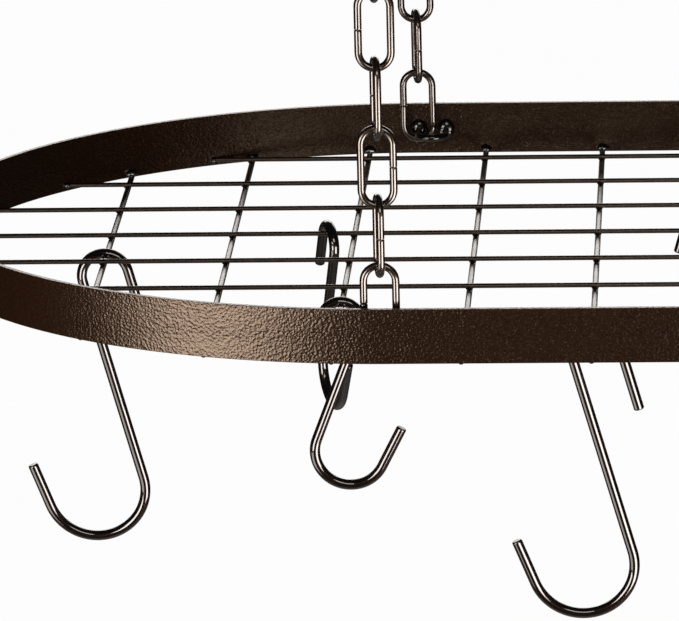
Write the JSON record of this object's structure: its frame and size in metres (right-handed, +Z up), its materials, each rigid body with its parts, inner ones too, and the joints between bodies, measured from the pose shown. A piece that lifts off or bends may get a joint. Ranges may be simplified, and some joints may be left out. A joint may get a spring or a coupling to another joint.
{
  "type": "hanging pot rack",
  "caption": "Oval hanging pot rack: a flat band on edge round a welded wire shelf, hung on link chains from ceiling screw hooks, with S-hooks for pots.",
  "frame": {"origin": "in the ceiling plane, over the middle of the rack", "axes": "+X along the rack's length, +Y across it towards its rear, +Z up"},
  "size_m": [0.914, 0.4574, 0.5131],
  "materials": {
    "band": "hammered matt bronze powder coat",
    "shelf_wire": "satin bronze",
    "chain": "glossy bronze plate",
    "pot_hook": "polished dark bronze plate"
  },
  "bodies": {
    "ceiling_hooks": {"ceiling_hook_front_left": "chain", "ceiling_hook_front_right": "chain", "ceiling_hook_rear_left": "chain", "ceiling_hook_rear_right": "chain"},
    "chain_front_left": {"link_front_left_1": "chain", "link_front_left_2": "chain", "link_front_left_3": "chain", "link_front_left_4": "chain", "link_front_left_5": "chain", "link_front_left_6": "chain"},
    "chain_front_right": {"link_front_right_1": "chain", "link_front_right_2": "chain", "link_front_right_3": "chain", "link_front_right_4": "chain", "link_front_right_5": "chain", "link_front_right_6": "chain"},
    "chain_rear_left": {"link_rear_left_1": "chain", "link_rear_left_2": "chain", "link_rear_left_3": "chain", "link_rear_left_4": "chain", "link_rear_left_5": "chain", "link_rear_left_6": "chain"},
    "chain_rear_right": {"link_rear_right_1": "chain", "link_rear_right_2": "chain", "link_rear_right_3": "chain", "link_rear_right_4": "chain", "link_rear_right_5": "chain", "link_rear_right_6": "chain"},
    "rack": {"oval_band": "band", "long_wire_1": "shelf_wire", "long_wire_2": "shelf_wire", "long_wire_3": "shelf_wire", "long_wire_4": "shelf_wire", "long_wire_5": "shelf_wire", "long_wire_6": "shelf_wire", "long_wire_7": "shelf_wire", "long_wire_8": "shelf_wire", "cross_wire_1": "shelf_wire", "cross_wire_2": "shelf_wire", "cross_wire_3": "shelf_wire", "cross_wire_4": "shelf_wire", "cross_wire_5": "shelf_wire", "cross_wire_6": "shelf_wire", "cross_wire_7": "shelf_wire", "cross_wire_8": "shelf_wire", "cross_wire_9": "shelf_wire", "cross_wire_10": "shelf_wire", "chain_eye_front_left": "chain", "chain_eye_front_right": "chain", "chain_eye_rear_left": "chain", "chain_eye_rear_right": "chain"},
    "large_hook_left_end": {"large_hook_left_end": "pot_hook"},
    "large_hook_left_middle": {"large_hook_left_middle": "pot_hook"},
    "small_hook_left_front": {"small_hook_left_front": "pot_hook"},
    "small_hook_left_side": {"small_hook_left_side": "pot_hook"},
    "large_hook_right_end": {"large_hook_right_end": "pot_hook"},
    "large_hook_right_middle": {"large_hook_right_middle": "pot_hook"},
    "small_hook_right_front": {"small_hook_right_front": "pot_hook"},
    "small_hook_right_side": {"small_hook_right_side": "pot_hook"}
  },
  "joints": [
    {"name": "front_left_chain_sway", "type": "hinge", "parent": "ceiling_hooks", "child": "chain_front_left", "pos_m": [-0.1637, -0.20665, -0.02347], "axis": [0, 1, 0], "range_deg": [-15, 15]},
    {"name": "front_right_chain_sway", "type": "hinge", "parent": "ceiling_hooks", "child": "chain_front_right", "pos_m": [0.1637, -0.20665, -0.02347], "axis": [0, 1, 0], "range_deg": [-15, 15]},
    {"name": "rear_left_chain_sway", "type": "hinge", "parent": "ceiling_hooks", "child": "chain_rear_left", "pos_m": [-0.1603, 0.20665, -0.02347], "axis": [0, 1, 0], "range_deg": [-15, 15]},
    {"name": "rear_right_chain_sway", "type": "hinge", "parent": "ceiling_hooks", "child": "chain_rear_right", "pos_m": [0.1603, 0.20665, -0.02347], "axis": [0, 1, 0], "range_deg": [-15, 15]},
    {"name": "rack_level", "type": "hinge", "parent": "chain_front_left", "child": "rack", "pos_m": [-0.1637, -0.2194, -0.27883], "axis": [0, 1, 0], "range_deg": [-15, 15]},
    {"name": "large_hook_left_end_swing", "type": "hinge", "parent": "rack", "child": "large_hook_left_end", "pos_m": [-0.348, -0.0171, -0.29503], "axis": [0, 1, 0], "range_deg": [-40, 40]},
    {"name": "large_hook_left_middle_swing", "type": "hinge", "parent": "rack", "child": "large_hook_left_middle", "pos_m": [-0.03867, -0.16188, -0.29503], "axis": [0, 1, 0], "range_deg": [-40, 40]},
    {"name": "small_hook_left_front_swing", "type": "hinge", "parent": "rack", "child": "small_hook_left_front", "pos_m": [-0.19333, -0.12198, -0.29503], "axis": [0, 1, 0], "range_deg": [-40, 40]},
    {"name": "small_hook_left_side_swing", "type": "hinge", "parent": "rack", "child": "small_hook_left_side", "pos_m": [-0.20957, 0.0285, -0.29138], "axis": [1, 0, 0], "range_deg": [-40, 40]},
    {"name": "large_hook_right_end_swing", "type": "hinge", "parent": "rack", "child": "large_hook_right_end", "pos_m": [0.348, 0.0171, -0.29503], "axis": [0, 1, 0], "range_deg": [-40, 40]},
    {"name": "large_hook_right_middle_swing", "type": "hinge", "parent": "rack", "child": "large_hook_right_middle", "pos_m": [0.03867, 0.16188, -0.29503], "axis": [0, 1, 0], "range_deg": [-40, 40]},
    {"name": "small_hook_right_front_swing", "type": "hinge", "parent": "rack", "child": "small_hook_right_front", "pos_m": [0.19333, 0.12198, -0.29503], "axis": [0, 1, 0], "range_deg": [-40, 40]},
    {"name": "small_hook_right_side_swing", "type": "hinge", "parent": "rack", "child": "small_hook_right_side", "pos_m": [0.20957, -0.0285, -0.29138], "axis": [1, 0, 0], "range_deg": [-40, 40]}
  ],
  "couplings": [
    {"joint": "front_right_chain_sway", "follows": "front_left_chain_sway", "ratio": 1},
    {"joint": "rear_left_chain_sway", "follows": "front_left_chain_sway", "ratio": 1},
    {"joint": "rear_right_chain_sway", "follows": "front_left_chain_sway", "ratio": 1},
    {"joint": "rack_level", "follows": "front_left_chain_sway", "ratio": -1}
  ]
}
